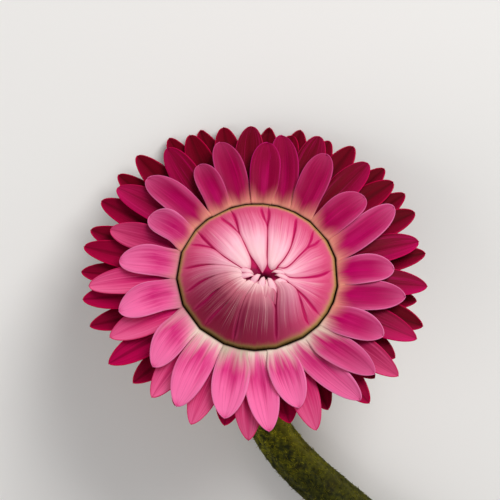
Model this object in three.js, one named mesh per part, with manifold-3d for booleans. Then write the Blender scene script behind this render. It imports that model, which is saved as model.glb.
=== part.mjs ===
// A half-open strawflower head on its cut stem, lying down. Millimetres, +Z up.
//
// The head rests on the tips of its outer bracts, and the stem bends down behind
// it and lies along the surface. The head has its own frame: its centre is the
// middle of the round crack between closed and spread bracts, and its third
// axis, called height here, runs out of the flower. Bearings turn about that
// axis from the head's own right.

import * as THREE from "three";
import { mergeVertices } from "three/addons/utils/BufferGeometryUtils.js";
import Module from "manifold-3d";

const wasm = await Module();
wasm.setup();

// Where the head's centre is over the surface, how far the head leans back from
// facing straight up, and where both are from the middle of the whole flower's footprint.
const headPlace = new THREE.Vector3(0, 0, 17.2);
const headLean = THREE.MathUtils.degToRad(35);
const footprintShift = new THREE.Vector3(-4.2, 16.8, 0);

// Papery bracts, as thick as a solid blade needs. Widths are shares of a tier's
// width: at the hinge, at the belly, and of the belly at the blunt tip.
const bractThickness = 0.66;
const hingeShare = 0.82;
const bellyShare = 0.18;
const tipShare = 0.34;
const tipRoundness = 6;
const rowsTowardsTip = 1.6;

// The round crack between the closed dome and the first spread bracts.
const crackRadius = 10.5;
const crackWidth = 0.43;

// Walls of revolution: each is a list of [radius, height] round the head's axis.
const closedHead = [
  [0, -9], [5.2, -9], [7.6, -7.2], [9.4, -4.5], [10.3, -1.5],
  [crackRadius, 0], [9.2, 0.5], [7, 1.5], [4.5, 2.15], [2, 2.05], [0, 1.5],
];
const innerClaws = [
  [crackRadius + crackWidth, 0.2], [10.72, -1.5], [9.85, -4.55], [8.05, -7.3], [6, -9.3],
  [7, -9.6], [8.9, -7.9], [10.75, -4.8], [11.6, -1.5], [11.75, 0.2],
];
const outerClaws = [
  [12.1, -2], [11.95, -2.4], [11.1, -5], [9.25, -8.2], [7.6, -9.95],
  [8.3, -10.3], [10, -8.7], [11.95, -5.3], [12.75, -2.9], [12.9, -2],
];
const scaleBowl = [
  [12.95, -4.2], [12.3, -5.6], [10.4, -9], [8.6, -10.65], [7.9, -11.1], [5.1, -11.8],
  [3.8, -12.8], [4.4, -13.2], [5.3, -12.6], [8.8, -11.7], [11, -9.6], [13.1, -6], [13.65, -4.2],
];

// Spread bracts, tier by tier. Each bract is [bearing of its base, bearing of its
// tip, reach of its tip, lift over its neighbours], in degrees and millimetres.
const frontTier = {
  rootRadius: 11.05, rootHeight: -0.1, tipHeight: -1, arch: 0.55, width: 4.5, cup: 0.35, steps: 4,
  bracts: [
    [2, 4, 18.6, 0.25], [20, 30, 21.7, -0.3], [39, 40, 19.2, 0.25], [59, 63, 21.2, 0.2],
    [73, 81, 22.4, -0.35], [86, 86, 20.6, 0.25], [102, 104, 21.4, 0], [116, 115, 18.9, 0.25],
    [133, 135, 21.4, -0.3], [149, 148, 17.4, 0.3], [171, 172, 18.9, -0.2], [193, 195, 19.3, 0.2],
    [216, 223, 19.1, 0.25], [236, 240, 21.5, 0], [256, 258, 21, 0.25], [270, 274, 22.2, -0.3],
    [284, 286, 19.8, 0.25], [298, 308, 22.3, -0.35], [311, 318, 21, 0], [328, 333, 19, 0.25],
    [345, 352, 20.2, -0.3],
  ],
};
const secondTier = {
  rootRadius: 11.1, rootHeight: -0.95, tipHeight: -1.9, arch: 0.45, width: 4.2, cup: 0.3, steps: 3,
  bracts: [
    [13, 16, 23, 0], [48, 50, 23.9, 0.1], [66, 69, 24.2, -0.1], [95, 92, 24.1, 0.1],
    [124, 121, 24.2, 0], [142, 143, 24.2, 0.1], [159, 158, 21.7, -0.1], [181, 181, 22.9, 0.1],
    [204, 202, 21.4, 0], [228, 230, 21.9, -0.1], [247, 247, 22.5, 0.1], [265, 267, 22.9, -0.1],
    [290, 290, 22.9, 0.1], [321, 324, 23.3, 0.1], [338, 339, 23, -0.1], [357, 359, 23.1, 0],
  ],
};
const thirdTier = {
  rootRadius: 12.35, rootHeight: -2.5, tipHeight: -3.3, arch: 0.25, width: 4, cup: 0.15, steps: 3,
  bracts: [
    [26, 27, 24.4, 0], [41, 40, 24.6, 0.05], [58, 58, 25.3, -0.05], [80, 78, 23.6, 0.05],
    [102, 101, 24.8, 0], [114, 112, 25.1, -0.1], [131, 130, 26, 0.05], [150, 149, 25.1, 0],
    [168, 166, 24.5, -0.05], [187, 185, 23.8, 0], [211, 210, 23.1, 0.05], [237, 238, 20.8, 0],
    [257, 258, 21, 0.05], [281, 282, 21.7, -0.05], [310, 311, 22.8, 0], [330, 330, 21.4, 0.05],
    [346, 345, 23.2, 0],
  ],
};
const fourthTier = {
  rootRadius: 12.1, rootHeight: -3.4, tipHeight: -4.15, arch: 0.2, width: 3.8, cup: 0.15, steps: 3,
  bracts: [
    [11, 13, 23.7, 0], [33, 35, 25, 0.05], [46, 46, 25.5, -0.05], [66, 66, 24.8, 0],
    [75, 76, 25.1, 0.05], [88, 86, 24.7, -0.05], [108, 108, 25.6, 0], [119, 118, 26.2, 0.05],
    [139, 138, 26, 0], [160, 159, 24.6, -0.05], [176, 174, 24.2, 0.05], [195, 194, 23.4, 0],
    [221, 220, 21.8, 0.05], [244, 246, 20.4, 0], [268, 269, 20.6, -0.05], [299, 298, 20.2, 0.05],
    [321, 320, 20.6, 0], [354, 355, 21.8, -0.05],
  ],
};

// Papery scales on the underside, in rows that step round by half a scale. Their
// reach wanders by a turn of the golden angle from each to the next.
const goldenAngle = Math.PI * (3 - Math.sqrt(5));
const scaleArch = 0.3;
const scaleDroop = 0.3;
const scaleSkew = 3;
const scaleRagged = 0.3;
const scaleRows = [
  { count: 16, rootRadius: 12.7, rootHeight: -5.4, reach: 17, tipHeight: -6, width: 5.4 },
  { count: 13, rootRadius: 11.6, rootHeight: -7.9, reach: 16, tipHeight: -8.7, width: 5.4 },
  { count: 10, rootRadius: 9.4, rootHeight: -10.4, reach: 12.8, tipHeight: -11.2, width: 5.2 },
  { count: 7, rootRadius: 6, rootHeight: -12, reach: 9.4, tipHeight: -12.7, width: 4.8 },
];

// Closed bracts: bearing of each one's middle where it leaves the crack, the dome
// they make and the hollow star where their tips meet.
const closedBearings = [13, 43, 68, 96, 131, 160, 178, 197, 217, 237, 260, 299, 330];
const domeRise = 3.1;
const domeRoundness = 2.4;
const starHollow = 0.5;
const closedOverlap = 0.28;
const closedSpread = 1.16;
const closedCrown = 0.2;
const closedDepth = 1.1;
const hingeTuck = 0.3;
const starOffset = new THREE.Vector2(0.6, -0.3);
const starRadius = 0.95;

// The stem leaves the head along the head's axis, turns down to the surface and
// lies on it along the route, whose points are [x, y] of its middle.
const ribs = 9;
const ribHeight = 0.1;
const neckRadius = 2.55;
const cutRadius = 3.3;
const stemFlat = 0.14;
const neckTurnRadius = 8.4;
const neckSteps = 5;
const lyingSteps = 13;
const stemRoute = [
  [0.5, -20.3], [2.2, -25], [5.8, -29.6], [11, -34.4], [17.4, -39.8], [24, -45], [30.4, -50],
];
const receptacle = [
  [5.4, -9.35], [7.45, -10.35], [7.55, -10.65], [4.9, -11.35], [3.3, -12.4], [neckRadius, -13.4],
];

// A closed geometry becomes a solid once its shared vertices are merged.
function toSolid(geometry) {
  const bare = geometry.clone();
  bare.deleteAttribute("normal");
  bare.deleteAttribute("uv");
  const merged = mergeVertices(bare, 1e-3);
  return new wasm.Manifold(new wasm.Mesh({
    numProp: 3,
    vertProperties: new Float32Array(merged.attributes.position.array),
    triVerts: new Uint32Array(merged.index.array),
  }));
}

function toGeometry(solid) {
  const mesh = solid.getMesh();
  const geometry = new THREE.BufferGeometry();
  geometry.setAttribute("position", new THREE.BufferAttribute(mesh.vertProperties, 3));
  geometry.setIndex(new THREE.BufferAttribute(mesh.triVerts, 1));
  geometry.computeVertexNormals();
  return geometry;
}

function join(solids) {
  return solids.reduce((whole, next) => whole.add(next));
}

// Turns a closed outline of [radius, height] points about the head's axis.
function revolve(outline, segments) {
  const points = outline.map(([radius, height]) => new THREE.Vector2(radius, height));
  if (outline[0][0] > 0) {
    points.push(points[0].clone());
  }
  const lathe = new THREE.LatheGeometry(points, segments);
  lathe.rotateX(Math.PI / 2);
  return lathe;
}

// The width of a bract at a share of its length, from hinge to rounded tip.
function widthShare(along) {
  const belly = hingeShare + bellyShare * Math.sin(Math.PI * along);
  const tip = Math.sqrt(1 - Math.pow(along, tipRoundness));
  return belly * Math.max(tip, tipShare);
}

// One spread bract: a box bent outward from its hinge, cupped across.
function spreadBract(tier, [baseBearing, tipBearing, reach, lift]) {
  const blade = new THREE.BoxGeometry(1, 1, 1, 2, 1, tier.steps);
  const position = blade.attributes.position;
  for (let i = 0; i < position.count; i += 1) {
    const across = 2 * position.getX(i);
    const along = 1 - Math.pow(0.5 - position.getZ(i), rowsTowardsTip);
    const bearing = THREE.MathUtils.degToRad(baseBearing + (tipBearing - baseBearing) * along);
    const radius = tier.rootRadius + (reach - tier.rootRadius) * along;
    const side = across * widthShare(along) * tier.width / 2;
    const swell = Math.sin(Math.PI * along);
    const fall = (tier.tipHeight - tier.rootHeight) * along * along;
    const cup = tier.cup * across * across * (0.4 + 0.6 * swell) * (1 - along);
    const middle = tier.rootHeight + fall + tier.arch * swell + lift * Math.min(1, 3 * along);
    const height = middle + cup + position.getY(i) * bractThickness;
    position.setXYZ(
      i,
      radius * Math.cos(bearing) - side * Math.sin(bearing),
      radius * Math.sin(bearing) + side * Math.cos(bearing),
      height,
    );
  }
  return toSolid(blade);
}

function tierSolids(tier) {
  return tier.bracts.map((bract) => spreadBract(tier, bract));
}

// One row of scales, which lie on the bowl and stand off at their tips.
function scaleRow(row, index) {
  const tier = { ...row, arch: scaleArch, cup: -scaleDroop, steps: 2 };
  const scales = [];
  for (let i = 0; i < row.count; i += 1) {
    const bearing = (360 / row.count) * (i + 0.5 * (index % 2));
    const reach = row.reach + scaleRagged * Math.cos(goldenAngle * i);
    scales.push(spreadBract(tier, [bearing, bearing + scaleSkew, reach, 0]));
  }
  return scales;
}

// Height of the dome's skin over a radius, lowest in the middle, where the tips meet.
function domeHeight(radius) {
  const share = Math.min(radius / crackRadius, 1);
  return domeRise * (1 - Math.pow(share, domeRoundness)) - starHollow * Math.pow(1 - share, 3);
}

// One closed bract: it rises from the crack and folds over the dome to the star.
function closedBract(bearingDegrees, halfSpan) {
  const blade = new THREE.BoxGeometry(1, 1, 1, 3, 1, 5);
  const position = blade.attributes.position;
  const bearing = THREE.MathUtils.degToRad(bearingDegrees);
  for (let i = 0; i < position.count; i += 1) {
    const across = 2 * position.getX(i);
    const along = 0.5 - position.getZ(i);
    const outside = position.getY(i) + 0.5;
    const hinge = crackRadius - hingeTuck * (1 - outside);
    const radius = hinge + (starRadius - hinge) * along;
    const angle = bearing + across * halfSpan;
    const swell = Math.sin(Math.PI * along);
    const edge = closedOverlap * across * (0.4 + 0.6 * swell);
    const crown = closedCrown * (1 - across * across) * swell;
    const skin = domeHeight(radius) + edge + crown;
    position.setXYZ(
      i,
      radius * Math.cos(angle) + starOffset.x * along,
      radius * Math.sin(angle) + starOffset.y * along,
      skin - closedDepth * (1 - outside),
    );
  }
  return toSolid(blade);
}

function closedBracts() {
  const count = closedBearings.length;
  return closedBearings.map((bearing, i) => {
    const before = closedBearings[(i + count - 1) % count];
    const after = closedBearings[(i + 1) % count];
    const span = ((after - before + 360) % 360) / 2;
    return closedBract(bearing, THREE.MathUtils.degToRad(closedSpread * span / 2));
  });
}

// The stem is one tube with its receptacle, bent from the head down to the surface.
function stemSolid(surface) {
  const toWorld = headMatrix();
  const stations = receptacle.map(([radius, height]) => (
    { centre: new THREE.Vector3(0, 0, height).applyMatrix4(toWorld), radius }
  ));
  const neckEnd = stations[stations.length - 1].centre;
  const steepest = Math.PI / 2 - headLean;
  for (let i = 1; i <= neckSteps; i += 1) {
    const slope = steepest * (1 - i / neckSteps);
    const back = neckTurnRadius * (Math.sin(steepest) - Math.sin(slope));
    const down = neckTurnRadius * (Math.cos(slope) - Math.cos(steepest));
    stations.push({
      centre: new THREE.Vector3(0, neckEnd.y - back, neckEnd.z - down),
      radius: neckRadius,
    });
  }
  const turnEnd = stations[stations.length - 1].centre;
  const lying = stemRoute.map(([x, y]) => new THREE.Vector3(x, y, turnEnd.z));
  const path = new THREE.CatmullRomCurve3([turnEnd, ...lying]);
  for (let i = 1; i <= lyingSteps; i += 1) {
    const share = i / lyingSteps;
    const radius = neckRadius + (cutRadius - neckRadius) * share;
    const centre = path.getPointAt(share);
    centre.z = radius - stemFlat;
    stations.push({ centre, radius });
  }
  return toSolid(tubeThrough(stations)).subtract(surface);
}

// A ribbed tube through the stations, closed at both ends.
function tubeThrough(stations) {
  const rows = stations.length - 1;
  const tube = new THREE.CylinderGeometry(1, 1, 1, 2 * ribs, rows);
  const position = tube.attributes.position;
  let side = new THREE.Vector3(1, 0, 0);
  const frames = stations.map((station, i) => {
    const before = stations[Math.max(i - 1, 0)].centre;
    const after = stations[Math.min(i + 1, rows)].centre;
    const forward = after.clone().sub(before).normalize();
    const up = side.clone().cross(forward).normalize();
    side = forward.clone().cross(up);
    return { side, up };
  });
  for (let i = 0; i < position.count; i += 1) {
    const row = Math.round((0.5 - position.getY(i)) * rows);
    const x = position.getX(i);
    const z = position.getZ(i);
    const angle = -Math.atan2(z, x);
    const rib = Math.hypot(x, z) * (1 + (ribHeight / neckRadius) * Math.cos(ribs * angle));
    const point = stations[row].centre.clone()
      .addScaledVector(frames[row].side, stations[row].radius * rib * Math.cos(angle))
      .addScaledVector(frames[row].up, stations[row].radius * rib * Math.sin(angle));
    position.setXYZ(i, point.x, point.y, point.z);
  }
  return tube;
}

function headMatrix() {
  const turn = new THREE.Matrix4().makeRotationX(-headLean);
  return new THREE.Matrix4().makeTranslation(headPlace).multiply(turn);
}

function meshOf(name, solid, colour, roughness) {
  const material = new THREE.MeshStandardMaterial({ color: colour, roughness, metalness: 0 });
  const mesh = new THREE.Mesh(toGeometry(solid), material);
  mesh.name = name;
  return mesh;
}

// Everything below the surface that the flower lies on, in the world and in the head's frame.
const underWorld = new THREE.BoxGeometry(200, 200, 40).translate(0, 0, -20);
const underHead = underWorld.clone().applyMatrix4(headMatrix().invert());
const surface = toSolid(underWorld);
const surfaceInHead = toSolid(underHead);

const head = new THREE.Group();
head.applyMatrix4(headMatrix());
head.add(meshOf(
  "closed_bracts",
  join([toSolid(revolve(closedHead, 26)), ...closedBracts()]),
  0xf3a3bf,
  0.5,
));
head.add(meshOf(
  "inner_ray_bracts",
  join([toSolid(revolve(innerClaws, 30)), ...tierSolids(frontTier), ...tierSolids(secondTier)])
    .subtract(surfaceInHead),
  0xc2186b,
  0.45,
));
head.add(meshOf(
  "outer_ray_bracts",
  join([toSolid(revolve(outerClaws, 24)), ...tierSolids(thirdTier), ...tierSolids(fourthTier)])
    .subtract(surfaceInHead),
  0x8a0f32,
  0.5,
));
head.add(meshOf(
  "scale_bracts",
  join([toSolid(revolve(scaleBowl, 24)), ...scaleRows.flatMap(scaleRow)]).subtract(surfaceInHead),
  0xc98f5a,
  0.6,
));

const strawflower = new THREE.Group();
strawflower.add(head);
strawflower.add(meshOf("stem", stemSolid(surface), 0x6b7a35, 0.75));
strawflower.position.copy(footprintShift);

export default strawflower;
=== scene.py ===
# %% [markdown]
# # A half-open strawflower, lying down
# A strawflower has no petals. What looks like petals are papery bracts, in rings round a
# flat disc of tiny florets. The innermost bracts are still closed here, as a pink dome, and
# the others have folded back from a round crack. The part's solids give every size and
# place. This lesson puts finer, thinner bracts where the solids are.

import math
import random

import bmesh
import bpy
from mathutils import Matrix, Vector, noise


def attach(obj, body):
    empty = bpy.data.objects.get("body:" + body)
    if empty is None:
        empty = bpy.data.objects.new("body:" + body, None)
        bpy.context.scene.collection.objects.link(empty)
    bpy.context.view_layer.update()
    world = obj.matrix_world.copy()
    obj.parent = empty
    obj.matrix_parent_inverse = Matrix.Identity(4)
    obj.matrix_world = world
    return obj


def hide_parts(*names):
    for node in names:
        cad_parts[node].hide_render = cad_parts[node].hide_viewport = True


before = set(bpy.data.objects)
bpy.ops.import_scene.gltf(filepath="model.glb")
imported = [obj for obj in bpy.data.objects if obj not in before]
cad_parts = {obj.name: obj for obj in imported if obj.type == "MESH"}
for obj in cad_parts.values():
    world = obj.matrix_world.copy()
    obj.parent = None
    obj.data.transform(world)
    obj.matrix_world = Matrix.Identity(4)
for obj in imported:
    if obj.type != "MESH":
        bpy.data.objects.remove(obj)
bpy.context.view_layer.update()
print("solids:", ", ".join(sorted(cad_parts)))

# %% [markdown]
# The head has a frame of its own, in millimetres: x to its right, y up its face, and height
# out of the flower. It leans back, so that its low edge rests on outer bract tips. One matrix
# carries all that is made in that frame to the lying flower, in metres.

# %% The head's own frame
MM = 0.001
TURN = 2 * math.pi
QUARTER = math.pi / 2
HEAD_LEAN = math.radians(35)
HEAD_CENTRE = Vector((-4.2, 16.8, 17.2))
in_metres = Matrix.Scale(MM, 4)
head_to_stem = Matrix.Translation(HEAD_CENTRE) @ Matrix.Rotation(-HEAD_LEAN, 4, "X")
head_to_world = in_metres @ head_to_stem
print("head centre, metres:", [round(c, 4) for c in head_to_world.translation])

# %% [markdown]
# The photograph looks almost along the head's axis, a little from its low stem side. A long
# lens far away keeps the far and near bracts alike in size, as they are there. The head's
# centre sits at a chosen pixel of the 500 pixel frame, which fixes where the camera stands.

# %% Camera
FRAME_PIXELS = 500
CENTRE_PIXEL = (257.3, 276.0)
LENS = 200
SENSOR = 36
CAMERA_DISTANCE = 0.375
NEAREST_SEEN = 0.01
VIEW_LEAN = math.radians(9.5)


def add_object(name, data):
    made = bpy.data.objects.new(name, data)
    bpy.context.scene.collection.objects.link(made)
    return made


toward_camera = Vector((0, math.sin(VIEW_LEAN), math.cos(VIEW_LEAN)))
picture_up = Vector((0, math.cos(VIEW_LEAN), -math.sin(VIEW_LEAN)))
picture_right = Vector((1, 0, 0))
pixel = CAMERA_DISTANCE * SENSOR / LENS / FRAME_PIXELS
camera = add_object("camera", bpy.data.cameras.new("camera"))
camera.data.lens = LENS
camera.data.sensor_width = SENSOR
camera.data.clip_start = NEAREST_SEEN
camera.location = (
    HEAD_CENTRE * MM
    + toward_camera * CAMERA_DISTANCE
    - picture_right * (CENTRE_PIXEL[0] - FRAME_PIXELS / 2) * pixel
    + picture_up * (CENTRE_PIXEL[1] - FRAME_PIXELS / 2) * pixel
)
camera.rotation_euler = Matrix((picture_right, picture_up, toward_camera)).transposed().to_euler()
bpy.context.scene.camera = camera
print("one pixel at the head, mm:", round(pixel / MM, 4))

# %% [markdown]
# ## How a bract is made
# Every bract is a thin sheet. It starts as a flat grid, which an operator makes with its UV
# map, and then a formula bends it to its place. The UV map runs across and along the bract,
# so a finish can follow the fibres. Seven attributes tell the finish where on the head it is:
# a random tone for the bract, how deep it hides, which is painted as shade, how shaded its
# side of the head is, which is painted as shade too, its tier, how much its tip has faded,
# kept low at the top of the head where the tips are painted dark as shade, the millimetres
# from the bract's nearest long edge, and which half of the bract turns to the light, which is
# painted as light and shade.

# %% A sheet bent to its place
UV_NAME = "fibre"
ATTRIBUTES = ("tone", "depth", "shade", "tier", "faded", "margin", "lit")
MERGE_DISTANCE = 1e-5


def new_piece_mesh():
    piece = bmesh.new()
    piece.loops.layers.uv.new(UV_NAME)
    for name in ATTRIBUTES:
        piece.verts.layers.float.new(name)
    return piece


def attribute_layers(piece):
    return {name: piece.verts.layers.float[name] for name in ATTRIBUTES}


def add_sheet(piece, columns, rows, place, **marks):
    """Adds a grid of columns and rows, and moves each point to place(across, along)."""
    made = bmesh.ops.create_grid(
        piece, x_segments=columns, y_segments=rows, size=1, calc_uvs=True
    )
    layers = attribute_layers(piece)
    for vert in made["verts"]:
        across, along = vert.co.x, (vert.co.y + 1) / 2
        vert.co, local = place(across, along)
        for name, layer in layers.items():
            vert[layer] = local.get(name, marks.get(name, 0.0))
    bmesh.ops.remove_doubles(piece, verts=made["verts"], dist=MERGE_DISTANCE)


def finish_mesh(piece, name, matrix, thickness=0.0):
    """Turns the bmesh into an object. With a thickness, its sheets get a real paper's."""
    bmesh.ops.transform(piece, matrix=matrix, verts=piece.verts)
    for face in piece.faces:
        face.smooth = True
    mesh = bpy.data.meshes.new(name)
    piece.to_mesh(mesh)
    piece.free()
    made = add_object(name, mesh)
    if thickness:
        wall = made.modifiers.new("paper", "SOLIDIFY")
        wall.thickness = thickness * MM
        wall.offset = -1
    print(name, "faces:", len(mesh.polygons))
    return made


def polar(bearing, radius):
    return Vector((radius * math.cos(bearing), radius * math.sin(bearing), 0))


def ease(value, start, end):
    """0 before start, 1 after end, and smooth between."""
    share = min(max((value - start) / (end - start), 0), 1)
    return share * share * (3 - 2 * share)


def smooth_path(points, steps):
    """Points evenly spaced in share along a Catmull-Rom curve through all the points."""
    ends = [2 * points[0] - points[1], *points, 2 * points[-1] - points[-2]]
    path = []
    for i in range(steps + 1):
        spot = i / steps * (len(points) - 1)
        span = min(int(spot), len(points) - 2)
        t = spot - span
        a, b, c, d = ends[span:span + 4]
        path.append(0.5 * (
            2 * b + (c - a) * t + (2 * a - 5 * b + 4 * c - d) * t * t
            + (3 * b - 3 * c + d - a) * t * t * t
        ))
    return path


print("attributes of a sheet:", ", ".join(ATTRIBUTES))

# %% [markdown]
# ## The crack
# The open bracts have snapped back one by one, each along its own straight hinge. So the
# crack isn't a circle but a polygon of short straight hinges, with its corners at the
# bearings below. Both sides of the crack, and the lip of each bract, follow it.

# %% The crack's polygon
CRACK_CORNERS = (
    14, 29, 48, 62, 75, 86, 98, 109, 129, 141, 161, 182,
    203, 225, 246, 257, 268, 283, 304, 318, 330, 340, 352,
)
CRACK_OUTSIDE = 11.02
CRACK_WIDTH = 0.22


def crack_radius(bearing, corner_radius=CRACK_OUTSIDE):
    """Distance from the head's axis to the straight hinge at this bearing."""
    degrees = math.degrees(bearing) % 360
    round_again = CRACK_CORNERS[0] + 360
    after = next((c for c in CRACK_CORNERS if c > degrees), round_again)
    if degrees < CRACK_CORNERS[0]:
        degrees += 360
        after = round_again
    before = max(c for c in CRACK_CORNERS if c <= degrees)
    half_span = math.radians(after - before) / 2
    from_middle = math.radians(degrees - (before + after) / 2)
    return corner_radius * math.cos(half_span) / math.cos(from_middle)


print("hinge at its middle:", round(crack_radius(math.radians(214)), 2), "mm from the axis")

# %% [markdown]
# ## Spread bracts
# A spread bract leaves its hinge, swells a little, cups along its length and ends in a round
# or slightly pointed tip. Each row below is one bract: the bearings of its base and its tip,
# the reach of its tip, how far it lies over its neighbours and, in the front tier, its width.
# They are close to the solids' own numbers, so the fine bracts land where the solids are.

# %% Tiers of spread bracts
FRONT_TIER = {
    "tier": 0.0, "root": 11.05, "root_height": -0.1, "tip_height": -0.9, "arch": 0.5,
    "width": 4.3, "cup": 0.6, "roll": 0.08,
    "bracts": [
        (2, 4, 18.6, 0.2, 4.4), (20, 30, 21.7, -0.2, 4.3), (39, 40, 19.2, 0.2, 4.5),
        (59, 63, 21.2, 0.1, 4.2), (73, 81, 22.4, -0.35, 4.1), (86, 86, 20.6, 0.24, 4.2),
        (102, 104, 21.4, 0, 4.1), (116, 115, 18.9, 0.3, 3.6), (133, 135, 21.4, -0.06, 4.3),
        (149, 148, 17.4, 0.34, 4.1), (171, 172, 18.9, 0, 4.6), (193, 195, 19.3, 0.16, 4.8),
        (216, 223, 19.1, 0.2, 4.7), (236, 240, 21.5, -0.1, 4.9), (256, 258, 21, 0.12, 5.0),
        (270, 274, 22.2, -0.5, 4.5), (284, 286, 19.8, 0.12, 4.6), (298, 308, 22.3, -0.42, 4.2),
        (311, 318, 21, 0.06, 4.5), (328, 333, 19, 0.24, 4.6), (345, 352, 20.2, -0.12, 4.6),
    ],
}
SECOND_TIER = {
    "tier": 0.4, "root": 11.1, "root_height": -0.5, "tip_height": -2.45, "arch": 0.2,
    "width": 4.2, "cup": 0.25, "roll": 0.08,
    "bracts": [
        (13, 16, 23, 0), (48, 50, 23.9, 0.1), (66, 69, 24.2, -0.1), (95, 92, 24.1, 0.1),
        (124, 121, 24.2, 0), (142, 143, 24.2, 0), (159, 158, 21.7, -0.1), (181, 181, 22.9, 0.1),
        (204, 202, 21.4, 0), (228, 230, 21.9, -0.1), (247, 247, 22.5, 0.1),
        (265, 267, 22.9, -0.1), (290, 290, 22.9, 0.1), (321, 324, 23.3, 0.1),
        (338, 339, 23, -0.1), (357, 359, 23.1, 0),
    ],
}
THIRD_TIER = {
    "tier": 0.7, "root": 12.35, "root_height": -2.5, "tip_height": -3.3, "arch": 0.25,
    "width": 4.0, "cup": 0.3, "roll": 0.12,
    "bracts": [
        (26, 27, 24.4, 0), (41, 40, 24.6, 0.05), (58, 58, 25.3, -0.05), (80, 78, 23.6, 0.05),
        (102, 101, 24.8, 0), (114, 112, 25.1, -0.1), (131, 130, 26, 0.05), (150, 149, 25.1, 0),
        (168, 166, 24.5, -0.05), (187, 185, 23.8, 0), (211, 210, 23.1, 0.05),
        (237, 238, 20.8, 0), (257, 258, 21, 0.05), (281, 282, 20.6, -0.05),
        (310, 311, 22.8, 0), (330, 330, 21.4, 0.05), (346, 345, 23.2, 0),
    ],
}
FOURTH_TIER = {
    "tier": 1.0, "root": 12.1, "root_height": -3.4, "tip_height": -4.15, "arch": 0.2,
    "width": 3.8, "cup": 0.25, "roll": 0.1,
    "bracts": [
        (11, 13, 23.7, 0), (33, 35, 25, 0.05), (46, 46, 25.5, -0.05), (66, 66, 24.8, 0),
        (75, 76, 25.1, 0.05), (88, 86, 24.7, -0.05), (108, 108, 25.6, 0), (119, 118, 26.2, 0.05),
        (139, 138, 26, 0), (160, 159, 24.6, -0.05), (176, 174, 24.2, 0.05), (195, 194, 23.4, 0),
        (221, 220, 21.8, 0.05), (244, 246, 20.4, 0), (268, 269, 20.6, -0.05),
        (299, 298, 20.2, 0.05), (321, 320, 20.6, 0), (354, 355, 21.8, -0.05),
    ],
}
TIERS = (FRONT_TIER, SECOND_TIER, THIRD_TIER, FOURTH_TIER)
print("spread bracts:", sum(len(tier["bracts"]) for tier in TIERS))

# %% [markdown]
# The outline and the cross-section are formulas. Bracts on the low side of the head end in
# round tips, and those on the stem side in a small point. A little seeded chance gives each
# its own twist, roll and pleats, because no two grown bracts are alike.

# %% One spread bract
chance = random.Random(26)
# Round these bearings the head's bracts are painted darkest, as shade.
SHADED_BEARING = math.radians(50)
OUTER_SHADED_BEARING = math.radians(60)
POINTED_BEARING = math.radians(275)
# Round this bearing the tips are not faded but painted dark, as shade.
TIP_SHADE_BEARING = 80
TIP_SHADE_SPREAD = 42
HINGE_SHARE = 0.84
HINGE_OVERLAP = 1.06
HINGE_REACH = 0.32
BELLY_SHARE = 0.18
LIP_DROP = 0.12
LIP_LENGTH = 0.035
LIP_SHADE = 0.01
CUP_LEVEL = 0.25
CUP_LOSS_AT_TIP = 0.55
PLEAT_HEIGHT = 0.05
WAVE_HEIGHT = 0.09
HALF_WAVES = 2.2
END_CROWDING = 0.11
SURFACE_CLEARANCE = 0.02
PAPER = 0.13


def width_share(along, point):
    """Width of a bract at a share of its length: round where point is 0, pointed where 1."""
    belly = HINGE_SHARE + BELLY_SHARE * math.sin(math.pi * along ** 1.2)
    round_end = math.sqrt(max(1 - along ** 6, 0))
    pointed_end = max(1 - along ** 5, 0) ** 0.7
    return belly * (round_end * (1 - point) + pointed_end * point)


def crowded(share):
    """Moves rows towards both ends, where a bract bends most."""
    return share - END_CROWDING * math.sin(TURN * share)


def shade_of(bearing, darkest=SHADED_BEARING):
    return 0.5 + 0.5 * math.cos(bearing - darkest)


def degrees_between(bearing, other):
    return (bearing - other + 180) % 360 - 180


def faded_share(bearing):
    """How pale a bract's tip is: not at all at the top of the head, where the tips are painted
    dark as shade, and fully elsewhere.
    """
    return 1 - math.exp(-(degrees_between(bearing, TIP_SHADE_BEARING) / TIP_SHADE_SPREAD) ** 2)


def above_surface(point):
    """Keeps a point of the head's frame above the surface that the flower lies on."""
    height_over_surface = HEAD_CENTRE.z + (
        point.z * math.cos(HEAD_LEAN) - point.y * math.sin(HEAD_LEAN)
    )
    missing = SURFACE_CLEARANCE + PAPER - height_over_surface
    if missing > 0:
        point.z += missing / math.cos(HEAD_LEAN)
    return point


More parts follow.
